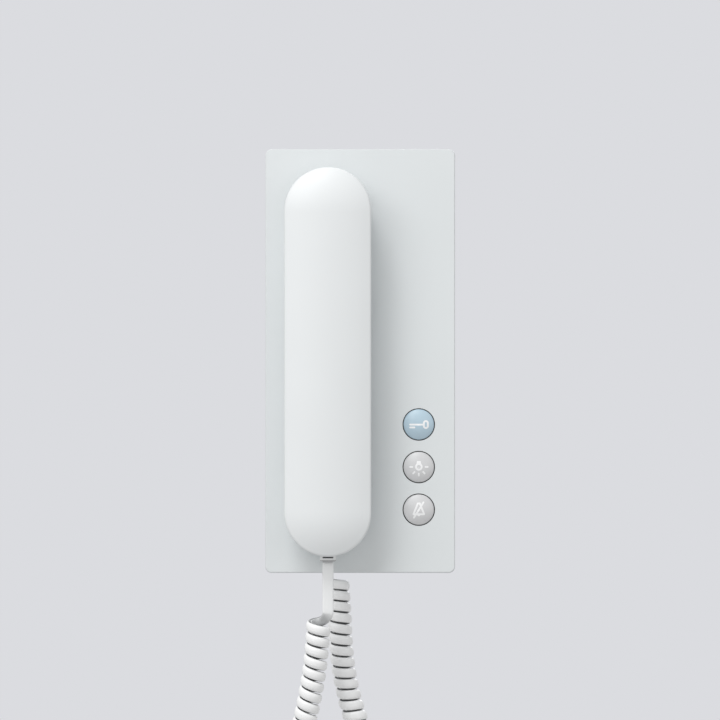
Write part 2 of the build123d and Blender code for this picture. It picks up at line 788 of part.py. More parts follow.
# Handset's front shell, with two posts for the screws
screw_places = [(handset_x, z) for z in handset_screw_zs]
boss_top_depth = rear_inner_depth + shell_boss_height
screw_seat_depth = handset_back_depth + screw_sink + screw_head_height
lip_outer_radius = handset_half - handset_wall - fit_gap
lip_inner_radius = lip_outer_radius - lip_thickness


def cord_window():
    """The opening for the cord's plug in the handset's round lower end."""
    with BuildSketch(Plane.XY.offset(handset_low_z - overrun)) as window:
        with Locations((handset_x, -handset_plug_depth)):
            Rectangle(plug_width + 2 * plug_window_gap, plug_height + 2 * plug_window_gap)
    extrude(window.sketch, amount=handset_socket_low_z - handset_low_z + overrun, mode=Mode.SUBTRACT)


with BuildPart() as handset_front_shell:
    add(front_form(0))
    add(front_form(handset_wall), mode=Mode.SUBTRACT)
    split(bisect_by=at_depth(parting_depth), keep=Keep.TOP)
    with BuildSketch(at_depth(boss_top_depth + screw_hole_gap)):
        with Locations(screw_places):
            Circle(post_radius)
    extrude(amount=handset_front_depth - handset_wall / 2 - boss_top_depth - screw_hole_gap)
    with BuildSketch(at_depth(boss_top_depth)):
        with Locations(screw_places):
            Circle(screw_radius + screw_hole_gap)
    extrude(amount=screw_seat_depth + screw_length + screw_sink - boss_top_depth, mode=Mode.SUBTRACT)
    cord_window()
keep(handset_front_shell, "handset_front_shell")

# Handset's rear shell, with the ear and mouth pads, the sound holes and the hook
mouth_z = (mouth_pad_low_z + mouth_pad_top_z) / 2
grommet_seat_radius = grommet_radius + collar_gap

with BuildPart() as handset_rear_shell:
    add(capsule_form(rear_section(0)))
    split(bisect_by=at_depth(parting_depth), keep=Keep.BOTTOM)
    with BuildSketch(at_depth(pad_face_depth)):
        ear_outline(0, 0)
        mouth_outline(0, 0)
    extrude(amount=pad_height + handset_wall / 2)
    pad_faces = handset_rear_shell.faces().filter_by(Axis.Y).sort_by(Axis.Y)[-2:]
    fillet([edge for face in pad_faces for edge in face.edges()], pad_edge_radius)
    add(capsule_form(rear_section(handset_wall)), mode=Mode.SUBTRACT)
    with BuildSketch(at_depth(pad_inner_depth)):
        ear_outline(-pad_wall, 0)
        mouth_outline(-pad_wall, 0)
    extrude(amount=rear_inner_depth - pad_inner_depth + overrun, mode=Mode.SUBTRACT)
    with BuildSketch(Plane.YZ.offset(handset_x - hook_width / 2)):
        with BuildLine():
            Polyline(*hook_outline(0), close=True)
        make_face()
    extrude(amount=hook_width)

    # Ledge and lip that locate the front shell
    with BuildSketch(at_depth(parting_depth - lip_root)):
        slot_outline(low_round_z, top_round_z, handset_half - handset_wall / 2)
        slot_outline(low_round_z, top_round_z, lip_inner_radius, Mode.SUBTRACT)
    extrude(amount=lip_root)
    with BuildSketch(at_depth(parting_depth)):
        slot_outline(low_round_z, top_round_z, lip_outer_radius)
        slot_outline(low_round_z, top_round_z, lip_inner_radius, Mode.SUBTRACT)
    extrude(amount=lip_height)

    # Screw bosses and the ring that holds the microphone's grommet
    with BuildSketch(at_depth(rear_inner_depth - handset_wall / 2)):
        with Locations(screw_places):
            Circle(shell_boss_radius)
    extrude(amount=handset_wall / 2 + shell_boss_height)
    with BuildSketch(at_depth(pad_inner_depth)):
        with Locations((handset_x, mouth_z)):
            Circle(grommet_seat_radius + collar_wall)
            Circle(grommet_seat_radius, mode=Mode.SUBTRACT)
    extrude(amount=collar_height)
    with BuildSketch(at_depth(handset_back_depth - overrun)):
        with Locations(screw_places):
            Circle(screw_head_radius + screw_head_gap)
    extrude(amount=screw_seat_depth - handset_back_depth + overrun, mode=Mode.SUBTRACT)
    with BuildSketch(at_depth(screw_seat_depth - overrun)):
        with Locations(screw_places):
            Circle(screw_radius + screw_hole_gap)
    extrude(amount=boss_top_depth - screw_seat_depth + 2 * overrun, mode=Mode.SUBTRACT)

    # Sound holes
    with BuildSketch(at_depth(pad_face_depth - overrun)):
        with Locations((handset_x, receiver_z)):
            Circle(ear_hole_radius)
            for ring in range(1, ear_rings + 1):
                with PolarLocations(ring * ear_ring_spacing, ring * ear_ring_holes):
                    Circle(ear_hole_radius)
        with Locations((handset_x, mouth_z)):
            with GridLocations(mouth_slot_spacing, mouth_slot_spacing, 1, mouth_slot_count):
                SlotOverall(mouth_slot_length, mouth_slot_width)
    extrude(amount=pad_wall + 2 * overrun - screw_hole_gap, mode=Mode.SUBTRACT)
    cord_window()
keep(handset_rear_shell, "handset_rear_shell")

with BuildPart() as handset_screws:
    with BuildSketch(at_depth(screw_seat_depth - screw_head_height)):
        with Locations(screw_places):
            Circle(screw_head_radius)
    extrude(amount=screw_head_height)
    with BuildSketch(at_depth(screw_seat_depth)):
        with Locations(screw_places):
            Circle(screw_radius)
    extrude(amount=screw_length)
    with BuildSketch(at_depth(screw_seat_depth - screw_head_height)):
        with Locations(screw_places):
            Rectangle(2 * screw_head_radius, screw_slot_width)
            Rectangle(screw_slot_width, 2 * screw_head_radius)
    extrude(amount=screw_slot_depth, mode=Mode.SUBTRACT)
keep(handset_screws, "handset_screws")

# Receiver on its gasket, inside the ear pad
receiver_front_depth = pad_inner_depth + gasket_thickness
receiver_back_depth = receiver_front_depth + receiver_height
receiver_flange_depth = receiver_front_depth + receiver_flange_height

with BuildPart() as receiver_gasket:
    with BuildSketch(at_depth(pad_inner_depth)):
        with Locations((handset_x, receiver_z)):
            Circle(receiver_flange_radius)
            Circle(receiver_flange_radius - gasket_width, mode=Mode.SUBTRACT)
    extrude(amount=gasket_thickness)
keep(receiver_gasket, "receiver_gasket")

with BuildPart() as receiver:
    with BuildSketch(Plane((handset_x, 0, receiver_z))):
        with BuildLine():
            Polyline((0, -receiver_front_depth), (receiver_flange_radius, -receiver_front_depth),
                     (receiver_flange_radius, -receiver_flange_depth),
                     (receiver_radius, -receiver_flange_depth),
                     (receiver_radius, -receiver_back_depth + receiver_edge),
                     (receiver_radius - receiver_edge, -receiver_back_depth),
                     (receiver_magnet_radius, -receiver_back_depth),
                     (receiver_magnet_radius, -receiver_back_depth - receiver_magnet_height),
                     (0, -receiver_back_depth - receiver_magnet_height), close=True)
        make_face()
    revolve(axis=Axis((handset_x, 0, receiver_z), (0, 1, 0)))
keep(receiver, "receiver")

# Microphone in its rubber grommet, inside the mouth pad
with BuildPart() as microphone_grommet:
    with BuildSketch(at_depth(pad_inner_depth)):
        with Locations((handset_x, mouth_z)):
            Circle(grommet_radius)
    extrude(amount=grommet_height)
    with BuildSketch(at_depth(pad_inner_depth + grommet_floor)):
        with Locations((handset_x, mouth_z)):
            Circle(microphone_radius)
    extrude(amount=grommet_height, mode=Mode.SUBTRACT)
    with BuildSketch(at_depth(pad_inner_depth - overrun)):
        with Locations((handset_x, mouth_z)):
            Circle(grommet_port_radius)
    extrude(amount=grommet_floor + 2 * overrun, mode=Mode.SUBTRACT)
keep(microphone_grommet, "microphone_grommet")

with BuildPart() as microphone:
    with BuildSketch(at_depth(pad_inner_depth + grommet_floor)):
        with Locations((handset_x, mouth_z)):
            Circle(microphone_radius)
    extrude(amount=microphone_height)
keep(microphone, "microphone")

# Steel bar that gives the handset its weight
with BuildPart() as handset_weight:
    with BuildSketch(at_depth(rear_inner_depth)):
        with Locations((handset_x, weight_z)):
            Rectangle(weight_width, weight_length)
    extrude(amount=weight_height)
    chamfer(handset_weight.faces().sort_by(Axis.Y)[0].edges(), weight_edge)
keep(handset_weight, "handset_weight")


def socket_piece(x, depth, low_z):
    """Socket that is open below, for the plug at the end of the cord."""
    with BuildPart() as socket:
        with BuildSketch(Plane.XY.offset(low_z)):
            with Locations((x, -depth)):
                Rectangle(socket_width, socket_height)
        extrude(amount=socket_length)
        chamfer(socket.edges().filter_by(Axis.X).group_by(Axis.Z)[0].sort_by(Axis.Y)[-1], socket_foot)
        fillet(socket.edges().filter_by(Axis.Z), socket_edge)
        with BuildSketch(Plane.XY.offset(low_z - overrun)):
            with Locations((x, -depth)):
                Rectangle(plug_width + 2 * socket_gap, plug_height + 2 * socket_gap)
        extrude(amount=overrun + socket_length - socket_back, mode=Mode.SUBTRACT)
    return socket


def plug_piece(x, depth, low_z):
    """Plug that points up, with its spring latch towards the wall and a slot in its front."""
    top_z = low_z + plug_length
    body_height = plug_height - latch_thickness - latch_gap
    front_depth = depth + plug_height / 2
    latch_y = -depth + (plug_height - latch_thickness) / 2
    with BuildPart() as plug:
        with BuildSketch(Plane.XY.offset(low_z)):
            with Locations((x, body_height / 2 - front_depth)):
                Rectangle(plug_width, body_height)
        extrude(amount=plug_length)
        chamfer(plug.faces().filter_by(Axis.Z).edges(), plug_corner)
        with BuildSketch(Plane.XY.offset(top_z - latch_length)):
            with Locations((x, latch_y)):
                Rectangle(latch_width, latch_thickness)
        extrude(amount=latch_length - plug_corner)
        with BuildSketch(Plane.XY.offset(top_z - latch_root)):
            with Locations((x, latch_y - latch_thickness)):
                Rectangle(latch_width, latch_thickness + 2 * latch_gap)
        extrude(amount=latch_root - plug_corner)
        with BuildSketch(at_depth(front_depth - plug_window_depth)):
            with Locations((x, low_z + plug_window_lift)):
                Rectangle(plug_window_width, plug_window_height)
        extrude(amount=plug_window_depth + overrun, mode=Mode.SUBTRACT)
    return plug


def lead_piece(x, depth, high_z, length):
    """Straight stretch of the flat cord, below a plug."""
    with BuildPart() as lead:
        with BuildSketch(Plane.XY.offset(high_z - length)):
            with Locations((x, -depth)):
                RectangleRounded(cord_width, cord_thickness, cord_edge_radius)
        extrude(amount=length)
    return lead


keep(socket_piece(handset_x, handset_plug_depth, handset_socket_low_z), "handset_socket")
keep(plug_piece(handset_x, handset_plug_depth, handset_plug_low_z), "handset_plug")
keep(lead_piece(handset_x, handset_plug_depth, handset_plug_low_z, handset_lead_length), "cord_lead_handset")
keep(socket_piece(base_socket_x, base_plug_depth, base_socket_low_z), "base_socket")
keep(plug_piece(base_socket_x, base_plug_depth, base_plug_low_z), "base_plug")
keep(lead_piece(base_socket_x, base_plug_depth, base_plug_low_z, base_lead_length), "cord_lead_base")


# Curly cord: a left-handed helix round the route, one wire from lead to lead
def route_line(points, steps):
    """Points along the smooth line that has the route's points as its control points."""
    corners = [Vector(*point) for point in points]
    joints = [(a + b) / 2 for a, b in zip(corners[1:-2], corners[2:-1])]
    starts = [corners[0]] + joints
    ends = joints + [corners[-1]]
    line = []
    for start, corner, end in zip(starts, corners[1:-1], ends):
        for step in range(steps):
            t = step / steps
            line.append(start * (1 - t) ** 2 + corner * (2 * t * (1 - t)) + end * t**2)
    return line + [corners[-1]]


corner_step_count = 48
bend_step_count = 3
line = route_line(coil_route, corner_step_count)
last = len(line) - 1
tangents = [(line[min(i + 1, last)] - line[max(i - 1, 0)]).normalized() for i in range(last + 1)]
across = [(Vector(1, 0, 0) - tangents[0] * tangents[0].X).normalized()]
for tangent in tangents[1:]:
    across.append((across[-1] - tangent * across[-1].dot(tangent)).normalized())
lengths = [0.0]
for a, b in zip(line, line[1:]):
    lengths.append(lengths[-1] + (b - a).length)


def bend(i):
    """How sharply the route bends at a point, as one over its radius."""
    before = max(i - bend_step_count, 0)
    after = min(i + bend_step_count, last)
    return (tangents[after] - tangents[before]).length / (lengths[after] - lengths[before])


# The turns spread where the route bends, so that they don't touch on the inside of the bend
turns = [0.0]
for i in range(1, last + 1):
    pitch = coil_pitch / (1 - coil_tightness_share * coil_outer_radius * bend(i))
    turns.append(turns[-1] + (lengths[i] - lengths[i - 1]) / pitch)
end_direction = Vector(1, 0, 0).rotate(Axis.Z, coil_end_angle)
end_side = tangents[-1].cross(across[-1])
end_angle = -math.degrees(math.atan2(end_direction.dot(end_side), end_direction.dot(across[-1])))
part_turn = (end_angle - coil_start_angle) / 360 % 1
whole_turns = math.floor(turns[-1])
turn_count = whole_turns + part_turn
coil_radius = coil_outer_radius - coil_wire_radius


def coil_point(turn):
    """The wire's middle after that many turns from the handset's end."""
    place = turn * turns[-1] / turn_count
    i = min(max(bisect.bisect_left(turns, place), 1), last)
    t = (place - turns[i - 1]) / (turns[i] - turns[i - 1])
    middle = line[i - 1] * (1 - t) + line[i] * t
    tangent = (tangents[i - 1] * (1 - t) + tangents[i] * t).normalized()
    side = across[i - 1] * (1 - t) + across[i] * t
    side = (side - tangent * side.dot(tangent)).normalized()
    angle = math.radians(coil_start_angle) + 2 * math.pi * turn
    turned = side * math.cos(angle) - tangent.cross(side) * math.sin(angle)
    return middle + turned * coil_radius


def coil_tangent(turn):
    small_share = 0.0005
    return (coil_point(turn + small_share) - coil_point(turn - small_share)).normalized()


def arc_joint(start, start_tangent, end, end_tangent):
    """Where two arcs that leave both ends along their tangents meet, and their tangent there."""
    run = end - start
    sum_of_tangents = start_tangent + end_tangent
    spread = 2 * (1 - start_tangent.dot(end_tangent))
    along = run.dot(sum_of_tangents)
    reach = (math.sqrt(along**2 + spread * run.dot(run)) - along) / spread
    first = start + start_tangent * reach
    second = end - end_tangent * reach
    return (first + second) / 2, (second - first).normalized()


half_turns = round(2 * turn_count)
stops = [turn_count * i / half_turns for i in range(half_turns + 1)]
wire_diameter = 2 * coil_wire_radius
coil_start = Vector(handset_x, -handset_plug_depth, handset_plug_low_z - handset_lead_length)
coil_end = Vector(base_socket_x, -base_plug_depth, base_plug_low_z - base_lead_length)
down = Vector(0, 0, -wire_diameter)
places = [coil_start + down] + [coil_point(turn) for turn in stops] + [coil_end + down]
headings = [Vector(0, 0, -1)] + [coil_tangent(turn) for turn in stops] + [Vector(0, 0, 1)]
arcs = []
for i in range(len(places) - 1):
    joint, heading = arc_joint(places[i], headings[i], places[i + 1], headings[i + 1])
    arcs.append(Edge.make_tangent_arc(places[i], headings[i], joint))
    arcs.append(Edge.make_tangent_arc(joint, heading, places[i + 1]))
wire_line = Wire([Edge.make_line(coil_start, places[0])] + arcs + [Edge.make_line(places[-1], coil_end)])

with BuildPart() as cord_coil:
    with BuildSketch(Plane(coil_start, x_dir=(1, 0, 0), z_dir=(0, 0, -1))) as wire_section:
        RegularPolygon(coil_wire_radius, coil_section_sides)
    sweep(path=wire_line, clean=False)
keep(cord_coil, "cord_coil")

# Least gap between one turn and the next, and how the wire's volume compares with its length
turn_point_count = 24
wire_points = [coil_point(i / turn_point_count) for i in range(int(turn_count * turn_point_count))]
apart = turn_point_count * 2 // 3
reach = turn_point_count * 3 // 2
least = min((a - b).length for i, a in enumerate(wire_points) for b in wire_points[i + apart:i + reach])
print("turns", round(turn_count, 2), "least gap", round(least - wire_diameter, 2), "wanted", coil_least_gap)
print("wire length", round(wire_line.length), "least arc radius", round(min(arc.radius for arc in arcs), 2))
volume_share = cord_coil.part.volume / (wire_section.sketch.area * wire_line.length)
print("volume share", round(volume_share, 4), "solids", len(cord_coil.part.solids()))
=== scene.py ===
import json
import math

import bpy
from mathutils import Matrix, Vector


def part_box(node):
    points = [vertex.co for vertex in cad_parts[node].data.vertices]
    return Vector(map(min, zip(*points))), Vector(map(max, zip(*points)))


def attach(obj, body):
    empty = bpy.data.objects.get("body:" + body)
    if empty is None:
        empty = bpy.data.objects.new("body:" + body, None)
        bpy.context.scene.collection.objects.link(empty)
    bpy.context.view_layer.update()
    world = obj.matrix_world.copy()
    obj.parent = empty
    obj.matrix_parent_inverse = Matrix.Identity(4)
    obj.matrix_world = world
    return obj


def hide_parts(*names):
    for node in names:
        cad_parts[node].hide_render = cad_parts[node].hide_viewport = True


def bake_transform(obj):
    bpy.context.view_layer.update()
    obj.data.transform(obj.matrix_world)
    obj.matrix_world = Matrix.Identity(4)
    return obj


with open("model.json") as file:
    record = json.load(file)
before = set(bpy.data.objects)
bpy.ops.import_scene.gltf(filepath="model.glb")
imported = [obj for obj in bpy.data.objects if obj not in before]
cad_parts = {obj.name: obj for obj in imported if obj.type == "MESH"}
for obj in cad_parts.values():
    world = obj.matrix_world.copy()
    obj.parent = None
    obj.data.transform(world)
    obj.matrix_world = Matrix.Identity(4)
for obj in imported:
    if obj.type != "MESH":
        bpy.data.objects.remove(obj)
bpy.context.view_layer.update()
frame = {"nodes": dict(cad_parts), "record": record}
print("frame loaded,", len(frame["nodes"]), "nodes")

mm = 0.001


# Camera straight in front of the housing, at the photograph's place

view = {
    "distance": 1.70,  # from the wall
    "scaleDepth": 0.020,  # depth of the housing's front, where the scale below holds
    "perPixel": 0.0004742,
    "picture": 720,
    "origin": (360.15, 361.0),  # pixel at which the middle of the housing lies
    "sensor": 36.0,
}


def placeCamera():
    reach = view["distance"] - view["scaleDepth"]
    offX = (view["picture"] / 2 - view["origin"][0]) * view["perPixel"]
    offZ = (view["origin"][1] - view["picture"] / 2) * view["perPixel"]
    data = bpy.data.cameras.new("camera")
    data.sensor_width = view["sensor"]
    data.lens = view["sensor"] * reach / (view["perPixel"] * view["picture"])
    camera = bpy.data.objects.new("camera", data)
    camera.location = (offX, -view["distance"], offZ)
    camera.rotation_euler = (math.pi / 2, 0, 0)
    bpy.context.scene.collection.objects.link(camera)
    bpy.context.scene.camera = camera


placeCamera()
print("camera placed")


# Curly cord: a flat cord wound left-handed round its route. It is made in two pieces, which meet at the
# bottom of the loop

cord = {
    "leadSize": (5.25 * mm, 2.5 * mm),  # width and thickness of the straight leads
    "coilSize": (4.6 * mm, 3.2 * mm),  # of the wound part, whose turns bulge a little
    "leadSquareness": 5.0,  # 2 is an ellipse, more is squarer
    "coilSquareness": 2.4,
    "around": 20,  # corners of the section
    "outerRadius": 5.8 * mm,  # of the coil
    "pitch": 5.25 * mm,
    "tightness": 0.9,  # how much the turns spread where the route bends
    "bendReach": 3,  # points of the route's line each way, over which its bend is measured
    "startAngle": 45,  # in degrees round the route
    "endAngle": 225,
    "ringsPerTurn": 44,
    "leadRings": 12,
    "bendRings": 26,
    "bendPull": 4 * mm,  # how far the straight leads carry on into the bend
    "coilPull": 11 * mm,
    "handsetLead": 24.0 * mm,
    "handsetBendTurns": 0.14,  # the share of a turn that the bend takes the place of
    "baseLead": 2.0 * mm,
    "handsetLength": 0.54,  # of the wound cord itself, not of the coil
    "baseLength": 0.61,
    "patternLength": 10 * mm,  # of cord, for one unit of its pattern
    "routeOrder": 3,  # of the spline
    "routeSteps": 48,  # points of the route's line for each point below
    "route": [
        (-19.6, -30.3, -123.0), (-20.2, -29.6, -134.0), (-21.9, -27.8, -149.0), (-25.2, -25.6, -166.0),
        (-29.8, -23.2, -186.0), (-32.0, -21.0, -206.0), (-20.6, -17.5, -217.5), (-4.4, -13.5, -217.5),
        (7.0, -10.5, -206.0), (3.6, -8.2, -186.0), (-3.6, -7.8, -167.0), (-7.6, -8.6, -150.0),
        (-9.3, -9.8, -134.0), (-9.7, -10.4, -120.0), (-10.9, -10.4, -105.6),
    ],
}


def routeLine(route):  # points read from the spline that has the route's points as its control points
    curve = bpy.data.curves.new("route", "CURVE")
    curve.dimensions = "3D"
    spline = curve.splines.new("NURBS")
    spline.points.add(len(route) - 1)
    for point, place in zip(spline.points, route):
        point.co = (place[0] * mm, place[1] * mm, place[2] * mm, 1)
    spline.order_u = cord["routeOrder"]
    spline.use_endpoint_u = True
    spline.resolution_u = cord["routeSteps"]
    holder = bpy.data.objects.new("route", curve)
    bpy.context.scene.collection.objects.link(holder)
    bpy.context.view_layer.update()
    mesh = bpy.data.meshes.new_from_object(holder)
    line = [vertex.co.copy() for vertex in mesh.vertices]
    bpy.data.objects.remove(holder)
    bpy.data.meshes.remove(mesh)
    return line


def distances(points):  # along the line through the points, from its start to each of them
    far = [0.0]
    for a, b in zip(points, points[1:]):
        far.append(far[-1] + (b - a).length)
    return far


def turnTable(line):  # for each point of the line: its direction, a steady sideways direction, its turns
    last = len(line) - 1
    ahead = [(line[min(i + 1, last)] - line[max(i - 1, 0)]).normalized() for i in range(last + 1)]
    side = [(Vector((1, 0, 0)) - ahead[0] * ahead[0].x).normalized()]
    for direction in ahead[1:]:
        side.append((side[-1] - direction * side[-1].dot(direction)).normalized())
    far = distances(line)
    turns = [0.0]
    for i in range(1, last + 1):
        low = max(i - cord["bendReach"], 0)
        high = min(i + cord["bendReach"], last)
        bend = (ahead[high] - ahead[low]).length / (far[high] - far[low])
        pitch = cord["pitch"] / (1 - cord["tightness"] * cord["outerRadius"] * bend)
        turns.append(turns[-1] + (far[i] - far[i - 1]) / pitch)
    return ahead, side, turns


def coilRings():
    # centres and outward directions of the wound part's rings, and the ring at the loop's lowest point.
    # The turns are whole ones and the share that brings the coil to its end at endAngle
    line = routeLine(cord["route"])
    ahead, side, turns = turnTable(line)
    endSide = ahead[-1].cross(side[-1])
    endAngle = math.radians(cord["endAngle"])
    wanted = Vector((math.cos(endAngle), math.sin(endAngle), 0))
    found = -math.degrees(math.atan2(wanted.dot(endSide), wanted.dot(side[-1])))
    turnCount = math.floor(turns[-1]) + (found - cord["startAngle"]) / 360 % 1
    radius = cord["outerRadius"] - cord["coilSize"][1] / 2
    count = round(turnCount * cord["ringsPerTurn"])
    centres, outward, split, place = [], [], 0, 0
    for ring in range(count + 1):
        turn = turnCount * ring / count
        reached = turn * turns[-1] / turnCount
        while place < len(line) - 2 and turns[place + 1] < reached:
            place += 1
        t = (reached - turns[place]) / (turns[place + 1] - turns[place])
        middle = line[place].lerp(line[place + 1], t)
        direction = ahead[place].lerp(ahead[place + 1], t).normalized()
        across = side[place].lerp(side[place + 1], t)
        across = (across - direction * across.dot(direction)).normalized()
        angle = math.radians(cord["startAngle"]) + 2 * math.pi * turn
        out = across * math.cos(angle) - direction.cross(across) * math.sin(angle)
        centres.append(middle + out * radius)
        outward.append(out)
        if ahead[place].z < 0:
            split = ring
    print("coil:", round(turnCount, 2), "turns")
    first = round(cord["handsetBendTurns"] * cord["ringsPerTurn"])
    return centres[first:], outward[first:], split - first


def hermite(start, startPull, end, endPull, count):
    points = []
    for i in range(1, count):
        t = i / count
        points.append(start * (2 * t**3 - 3 * t**2 + 1) + startPull * (t**3 - 2 * t**2 + t)
                      + end * (3 * t**2 - 2 * t**3) + endPull * (t**3 - t**2))
    return points


def straight(start, end):
    count = cord["leadRings"]
    return [start.lerp(end, i / count) for i in range(count + 1)]


def smooth(share):
    share = min(max(share, 0), 1)
    return share * share * (3 - 2 * share)


def plugEnd(plugName, leadName):  # the middle of the lead, where it leaves the plug
    low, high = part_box(leadName)
    return Vector(((low[0] + high[0]) / 2, (low[1] + high[1]) / 2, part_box(plugName)[0][2]))


def cordRings():
    # the whole cord from the handset's plug to the base's, as rings with the direction of their flat side
    # and the share of the wound part's section in them
    centres, outward, split = coilRings()
    down = Vector((0, 0, -1))
    first = plugEnd("handset_plug", "cord_lead_handset")
    firstEnd = first + down * cord["handsetLead"]
    last = plugEnd("base_plug", "cord_lead_base")
    lastEnd = last + down * cord["baseLead"]
    pull = down * cord["bendPull"]
    startPull = (centres[1] - centres[0]).normalized() * cord["coilPull"]
    endPull = (centres[-1] - centres[-2]).normalized() * cord["coilPull"]
    leadA = straight(first, firstEnd)
    leadA += hermite(firstEnd, pull, centres[0], startPull, cord["bendRings"])
    leadB = hermite(centres[-1], endPull, lastEnd, -pull, cord["bendRings"])
    leadB += straight(lastEnd, last)
    points = leadA + centres + leadB
    behind = Vector((0, 1, 0))
    before = Vector((0, -1, 0))
    sides, shares = [], []
    count = len(points)
    for i in range(count):
        ahead = (points[min(i + 1, count - 1)] - points[max(i - 1, 0)]).normalized()
        coiled = i - len(leadA)
        if 0 <= coiled < len(centres):
            share, out = 1, outward[coiled]
        elif coiled < 0:
            share = smooth(1 + coiled / (cord["bendRings"] + 1))
            out = behind.lerp(outward[0], share)
        else:
            share = smooth(1 - (coiled - len(centres)) / (cord["bendRings"] + 1))
            out = before.lerp(outward[-1], share)
        side = ahead.cross(out).normalized()
        sides.append((side, ahead.cross(side)))
        shares.append(share)
    return points, sides, shares, len(leadA) + split


def cordSection(share):  # rounded flat outline, as places along the flat side and across it
    width, thickness = [a + (b - a) * share for a, b in zip(cord["leadSize"], cord["coilSize"])]
    power = 2 / (cord["leadSquareness"] + (cord["coilSquareness"] - cord["leadSquareness"]) * share)
    outline = []
    for step in range(cord["around"]):
        angle = 2 * math.pi * (step + 0.5) / cord["around"]
        places = []
        for size, part in ((width, math.cos(angle)), (thickness, math.sin(angle))):
            places.append(math.copysign(size / 2 * abs(part) ** power, part))
        outline.append(places)
    return outline


def cordPiece(name, points, sides, shares):
    around = cord["around"]
    places = []
    for point, (side, across), share in zip(points, sides, shares):
        places += [point + side * a + across * b for a, b in cordSection(share)]
    faces = []
    for i in range(len(points) - 1):
        for k in range(around):
            n = (k + 1) % around
            faces.append((i * around + k, i * around + n, (i + 1) * around + n, (i + 1) * around + k))
    faces.append(tuple(reversed(range(around))))
    faces.append(tuple(range(len(places) - around, len(places))))
    mesh = bpy.data.meshes.new(name)
    mesh.from_pydata(places, [], faces)
    mesh.update()
    mesh.shade_smooth()
    far = distances(points)
    layer = mesh.uv_layers.new(name="along")
    for face in mesh.polygons[:-2]:
        k = face.index % around
        corners = ((0, k), (0, k + 1), (1, k + 1), (1, k))
        for loop, (step, turn) in zip(face.loop_indices, corners):
            reached = far[face.index // around + step] / cord["patternLength"]
            layer.data[loop].uv = (reached, (turn + 0.5) / around)
    wound = mesh.attributes.new("wound", "FLOAT", "POINT")
    wound.data.foreach_set("value", [share for share in shares for k in range(around)])
    piece = bpy.data.objects.new(name, mesh)
    bpy.context.scene.collection.objects.link(piece)
    return piece


cordPoints, cordSides, cordShares, cordSplit = cordRings()
handsetCord = cordPiece("handset_cord", cordPoints[:cordSplit + 1], cordSides[:cordSplit + 1],
                        cordShares[:cordSplit + 1])
baseCord = cordPiece("base_cord", cordPoints[cordSplit:], cordSides[cordSplit:], cordShares[cordSplit:])
handsetPath = list(reversed(cordPoints[:cordSplit + 1]))
basePath = list(reversed(cordPoints[cordSplit:]))
for path in (handsetPath, basePath):
    print("cord length:", round(distances(path)[-1], 3))

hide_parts("cord_lead_base", "cord_coil")
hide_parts("cord_lead_handset")
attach(baseCord, "root")
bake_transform(handsetCord)
print("cords made")


# Finishes. A Term is one value or colour among the nodes, and + - * / on it add nodes

class Term:
    def __init__(self, nodes, socket):
        self.nodes = nodes
        self.socket = socket

    def maths(self, operation, *values):
        return self.nodes.node("ShaderNodeMath", {"operation": operation}, dict(enumerate(values)))

    def __add__(self, other):
        return self.maths("ADD", self, other)

    def __sub__(self, other):
        return self.maths("SUBTRACT", self, other)

    def __rsub__(self, other):
        return self.maths("SUBTRACT", other, self)

    def __mul__(self, other):
        return self.maths("MULTIPLY", self, other)

    def __truediv__(self, other):
        return self.maths("DIVIDE", self, other)

    def least(self, other):
        return self.maths("MINIMUM", self, other)

    def most(self, other):
        return self.maths("MAXIMUM", self, other)

    def size(self):
        return self.maths("ABSOLUTE", self)

    def root(self):
        return self.maths("SQRT", self)

    def whole(self):
        return self.maths("FLOOR", self)

    def fraction(self):
        return self.maths("FRACT", self)

    def below(self, limit):  # 1 under the limit, else 0
        return self.maths("LESS_THAN", self, limit)

    def within(self):  # held between 0 and 1
        return self.least(1).most(0)

    __radd__ = __add__
    __rmul__ = __mul__


class Nodes:  # the nodes of one material or of the world
    def __init__(self, tree):
        self.tree = tree
        tree.nodes.clear()

    def feed(self, socket, value):
        if isinstance(value, Term):
            self.tree.links.new(value.socket, socket)
        else:
            socket.default_value = value

    def add(self, kind, settings, values):
        made = self.tree.nodes.new(kind)
        for name, value in settings.items():
            setattr(made, name, value)
        for name, value in values.items():
            self.feed(made.inputs[name], value)
        return made

    def node(self, kind, settings, values, output=0):
        return Term(self, self.add(kind, settings, values).outputs[output])

    def outputs(self, kind, values, names):
        made = self.add(kind, {}, values)
        return [Term(self, made.outputs[name]) for name in names]


